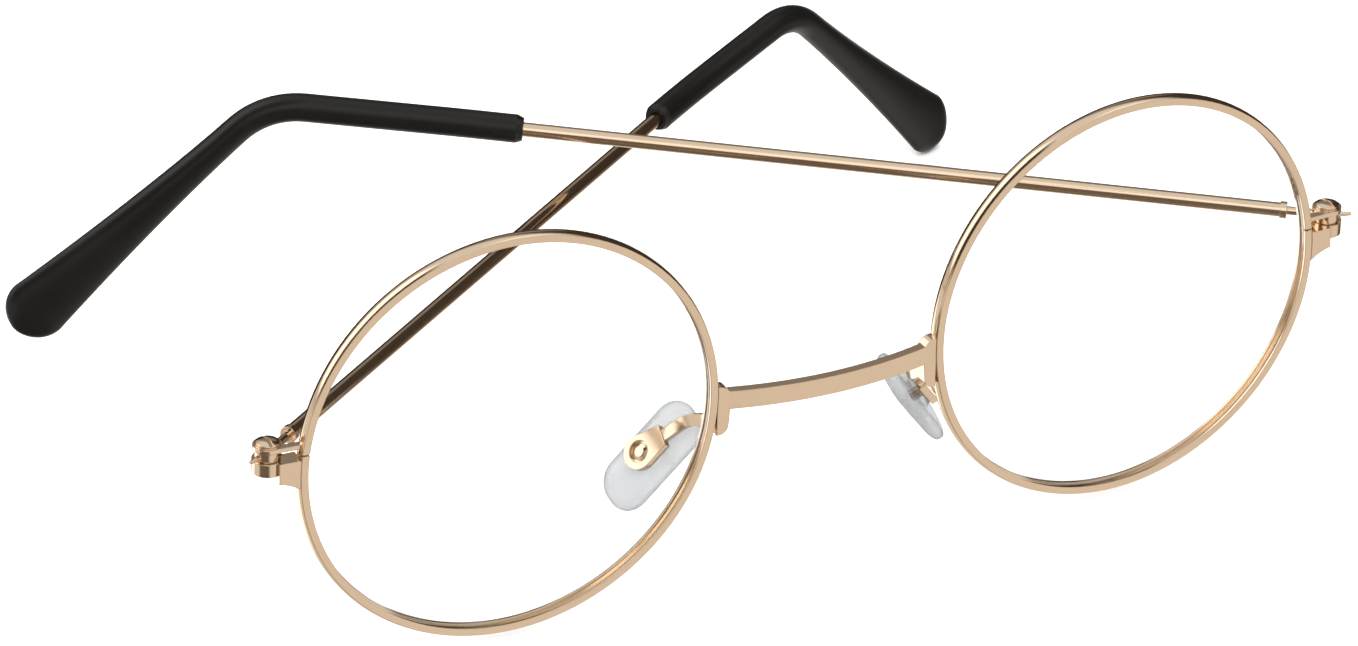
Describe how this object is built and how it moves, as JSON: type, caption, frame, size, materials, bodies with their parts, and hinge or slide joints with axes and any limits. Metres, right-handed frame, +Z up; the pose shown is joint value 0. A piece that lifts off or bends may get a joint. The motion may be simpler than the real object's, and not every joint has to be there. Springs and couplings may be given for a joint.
{
  "type": "round wire eyeglasses",
  "caption": "Round wire-rim eyeglasses with a bowed strip bridge, soft nose pads on metal arms, and folding wire temples that end in sleeved ear hooks.",
  "frame": {"origin": "middle of the bridge's flat top face", "axes": "+X to the wearer's left, +Y back along the temples when open, +Z up; the front faces -Y"},
  "size_m": [0.1245, 0.0796, 0.0463],
  "materials": {
    "gold": "polished champagne gold plating",
    "lens": "clear, thin",
    "pad": "clear soft plastic, slightly frosted",
    "tip": "glossy black"
  },
  "bodies": {
    "front": {"bridge": "gold", "rim_right": "gold", "lens_right": "lens", "pad_plate_right": "gold", "pad_arm_right": "gold", "end_piece_right": "gold", "closing_lug_right": "gold", "hinge_washer_right": "gold", "hinge_screw_right": "gold", "rim_left": "gold", "lens_left": "lens", "pad_plate_left": "gold", "pad_arm_left": "gold", "end_piece_left": "gold", "closing_lug_left": "gold", "hinge_washer_left": "gold", "hinge_screw_left": "gold"},
    "temple_right": {"temple_eye_right": "gold", "temple_wire_right": "gold", "temple_tip_right": "tip"},
    "temple_left": {"temple_eye_left": "gold", "temple_wire_left": "gold", "temple_tip_left": "tip"},
    "pad_right": {"nose_pad_right": "pad", "pad_stud_right": "gold"},
    "pad_left": {"nose_pad_left": "pad", "pad_stud_left": "gold"}
  },
  "joints": [
    {"name": "temple_fold_right", "type": "hinge", "parent": "front", "child": "temple_right", "pos_m": [-0.0598, 0.005, 0.00238], "axis": [0, 0, -1], "range_deg": [-53.6, 24.4]},
    {"name": "temple_fold_left", "type": "hinge", "parent": "front", "child": "temple_left", "pos_m": [0.0598, 0.005, 0.00238], "axis": [0, 0, 1], "range_deg": [-58.8, 21.2]},
    {"name": "pad_swivel_right", "type": "hinge", "parent": "front", "child": "pad_right", "pos_m": [-0.0147, 0.01035, -0.01155], "axis": [-0.7995, -0.2493, 0.5466], "range_deg": [-8, 8]},
    {"name": "pad_swivel_left", "type": "hinge", "parent": "front", "child": "pad_left", "pos_m": [0.0147, 0.01035, -0.01155], "axis": [0.7995, -0.2493, 0.5466], "range_deg": [-8, 8]}
  ]
}
